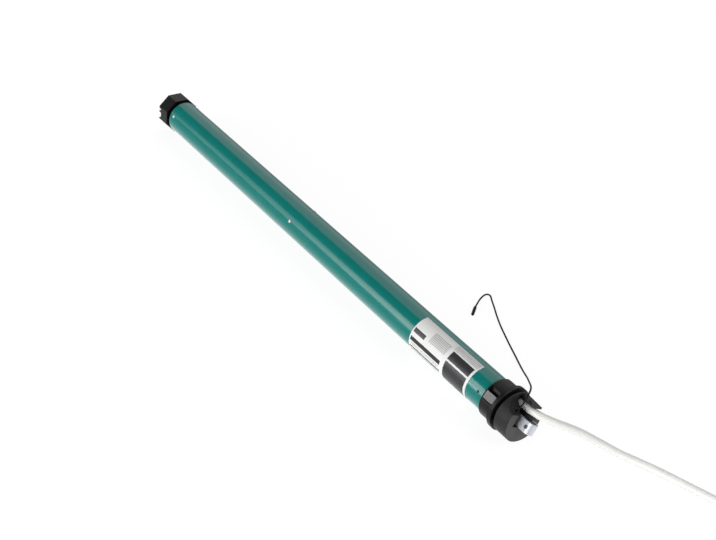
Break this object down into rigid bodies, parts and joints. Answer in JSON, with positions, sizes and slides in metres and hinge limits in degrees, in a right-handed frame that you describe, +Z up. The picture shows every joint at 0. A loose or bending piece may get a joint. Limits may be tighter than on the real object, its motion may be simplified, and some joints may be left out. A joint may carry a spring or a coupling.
{
  "type": "tubular roller blind motor",
  "caption": "Slim green tube motor for a roller blind: octagonal drive wheel, free crown ring, steel wall bracket, mains cable and wire antenna.",
  "frame": {"origin": "under the middle of the motor's length and width, on the surface that it lies on", "axes": "+X along the tube towards the head with the cable, +Z up, +Y to the side that the cable leaves to"},
  "size_m": [0.9316, 0.1396, 0.0435],
  "materials": {
    "tube_paint": "gloss",
    "zinc_steel": "zinc plated",
    "bright_steel": "machined",
    "dark_steel": "blackened",
    "black_plastic": "fine grain",
    "grey_plastic": "fine grain",
    "label_film": "printed film",
    "cable_sheath": "smooth",
    "antenna_sheath": "smooth",
    "brown_wire": "smooth",
    "blue_wire": "smooth",
    "earth_wire": "green with a yellow stripe",
    "tie_plastic": "smooth",
    "tray_plastic": "moulded",
    "board": "solder mask",
    "capacitor_case": "moulded",
    "relay_case": "moulded",
    "radio_board": "solder mask",
    "laminations": "stacked sheet",
    "copper": "enamelled wire",
    "rotor_steel": "turned",
    "cast_alloy": "cast",
    "sintered_bronze": "sintered",
    "magnet": "sintered",
    "friction_lining": "pressed",
    "brake_coil": "turned",
    "gear_steel": "sintered",
    "gear_nylon": "moulded",
    "gear_brass": "cut"
  },
  "bodies": {
    "motor": {"motor_tube": "tube_paint", "tube_rivets": "zinc_steel", "head_screws": "dark_steel", "rating_label": "label_film", "head_body": "grey_plastic", "mounting_bracket": "zinc_steel", "bracket_pin": "zinc_steel", "cable_plug": "black_plastic", "mains_cable": "cable_sheath", "cable_coil": "cable_sheath", "coil_tie": "tie_plastic", "conductor_live": "brown_wire", "conductor_neutral": "blue_wire", "conductor_earth": "earth_wire", "antenna_wire": "antenna_sheath", "antenna_tip": "antenna_sheath", "board_tray": "tray_plastic", "control_board": "board", "run_capacitor": "capacitor_case", "power_relays": "relay_case", "radio_module": "radio_board", "stator_core": "laminations", "stator_windings": "copper", "front_shield": "cast_alloy", "rear_shield": "cast_alloy", "shaft_bushes": "sintered_bronze", "brake_plate": "bright_steel", "brake_magnet": "brake_coil", "brake_spring": "bright_steel", "ring_gear": "gear_steel", "output_bearing": "black_plastic"},
    "rotor": {"rotor_core": "rotor_steel", "rotor_shaft": "bright_steel", "encoder_magnet": "magnet", "brake_disc": "friction_lining", "sun_gear": "gear_brass"},
    "first_carrier": {"first_carrier": "gear_steel"},
    "second_carrier": {"second_carrier": "gear_steel"},
    "output": {"output_shaft": "bright_steel", "drive_wheel": "black_plastic", "wheel_screw": "zinc_steel"},
    "crown": {"crown_ring": "black_plastic"},
    "brake_armature": {"brake_armature": "bright_steel"},
    "stage1_planet_a": {"stage1_planet_a": "gear_nylon"},
    "stage1_planet_b": {"stage1_planet_b": "gear_nylon"},
    "stage1_planet_c": {"stage1_planet_c": "gear_nylon"},
    "stage2_planet_a": {"stage2_planet_a": "gear_steel"},
    "stage2_planet_b": {"stage2_planet_b": "gear_steel"},
    "stage2_planet_c": {"stage2_planet_c": "gear_steel"},
    "stage3_planet_a": {"stage3_planet_a": "gear_steel"},
    "stage3_planet_b": {"stage3_planet_b": "gear_steel"},
    "stage3_planet_c": {"stage3_planet_c": "gear_steel"}
  },
  "joints": [
    {"name": "rotor_spin", "type": "hinge", "parent": "motor", "child": "rotor", "pos_m": [0, 0, 0.0215], "axis": [1, 0, 0], "continuous": true},
    {"name": "first_carrier_spin", "type": "hinge", "parent": "motor", "child": "first_carrier", "pos_m": [0, 0, 0.0215], "axis": [1, 0, 0], "continuous": true},
    {"name": "second_carrier_spin", "type": "hinge", "parent": "motor", "child": "second_carrier", "pos_m": [0, 0, 0.0215], "axis": [1, 0, 0], "continuous": true},
    {"name": "output_spin", "type": "hinge", "parent": "motor", "child": "output", "pos_m": [0, 0, 0.0215], "axis": [1, 0, 0], "continuous": true},
    {"name": "stage1_planet_a_spin", "type": "hinge", "parent": "first_carrier", "child": "stage1_planet_a", "pos_m": [-0.2244, 0.00831, 0.0215], "axis": [1, 0, 0], "continuous": true},
    {"name": "stage1_planet_b_spin", "type": "hinge", "parent": "first_carrier", "child": "stage1_planet_b", "pos_m": [-0.2244, -0.00415, 0.0287], "axis": [1, 0, 0], "continuous": true},
    {"name": "stage1_planet_c_spin", "type": "hinge", "parent": "first_carrier", "child": "stage1_planet_c", "pos_m": [-0.2244, -0.00415, 0.0143], "axis": [1, 0, 0], "continuous": true},
    {"name": "stage2_planet_a_spin", "type": "hinge", "parent": "second_carrier", "child": "stage2_planet_a", "pos_m": [-0.2382, 0.00831, 0.0215], "axis": [1, 0, 0], "continuous": true},
    {"name": "stage2_planet_b_spin", "type": "hinge", "parent": "second_carrier", "child": "stage2_planet_b", "pos_m": [-0.2382, -0.00415, 0.0287], "axis": [1, 0, 0], "continuous": true},
    {"name": "stage2_planet_c_spin", "type": "hinge", "parent": "second_carrier", "child": "stage2_planet_c", "pos_m": [-0.2382, -0.00415, 0.0143], "axis": [1, 0, 0], "continuous": true},
    {"name": "stage3_planet_a_spin", "type": "hinge", "parent": "output", "child": "stage3_planet_a", "pos_m": [-0.2545, 0.00831, 0.0215], "axis": [1, 0, 0], "continuous": true},
    {"name": "stage3_planet_b_spin", "type": "hinge", "parent": "output", "child": "stage3_planet_b", "pos_m": [-0.2545, -0.00415, 0.0287], "axis": [1, 0, 0], "continuous": true},
    {"name": "stage3_planet_c_spin", "type": "hinge", "parent": "output", "child": "stage3_planet_c", "pos_m": [-0.2545, -0.00415, 0.0143], "axis": [1, 0, 0], "continuous": true},
    {"name": "crown_spin", "type": "hinge", "parent": "motor", "child": "crown", "pos_m": [0.2662, 0, 0.0215], "axis": [1, 0, 0], "continuous": true},
    {"name": "brake_release", "type": "slide", "parent": "motor", "child": "brake_armature", "axis": [1, 0, 0], "range_m": [0, 0.0005], "stiffness_N_per_m": 1000, "springref_m": -0.004}
  ],
  "couplings": [
    {"joint": "first_carrier_spin", "follows": "rotor_spin", "ratio": 0.18182},
    {"joint": "second_carrier_spin", "follows": "rotor_spin", "ratio": 0.033058},
    {"joint": "output_spin", "follows": "rotor_spin", "ratio": 0.0060105},
    {"joint": "stage1_planet_a_spin", "follows": "rotor_spin", "ratio": -0.46753},
    {"joint": "stage1_planet_b_spin", "follows": "rotor_spin", "ratio": -0.46753},
    {"joint": "stage1_planet_c_spin", "follows": "rotor_spin", "ratio": -0.46753},
    {"joint": "stage2_planet_a_spin", "follows": "rotor_spin", "ratio": -0.085006},
    {"joint": "stage2_planet_b_spin", "follows": "rotor_spin", "ratio": -0.085006},
    {"joint": "stage2_planet_c_spin", "follows": "rotor_spin", "ratio": -0.085006},
    {"joint": "stage3_planet_a_spin", "follows": "rotor_spin", "ratio": -0.015456},
    {"joint": "stage3_planet_b_spin", "follows": "rotor_spin", "ratio": -0.015456},
    {"joint": "stage3_planet_c_spin", "follows": "rotor_spin", "ratio": -0.015456}
  ]
}
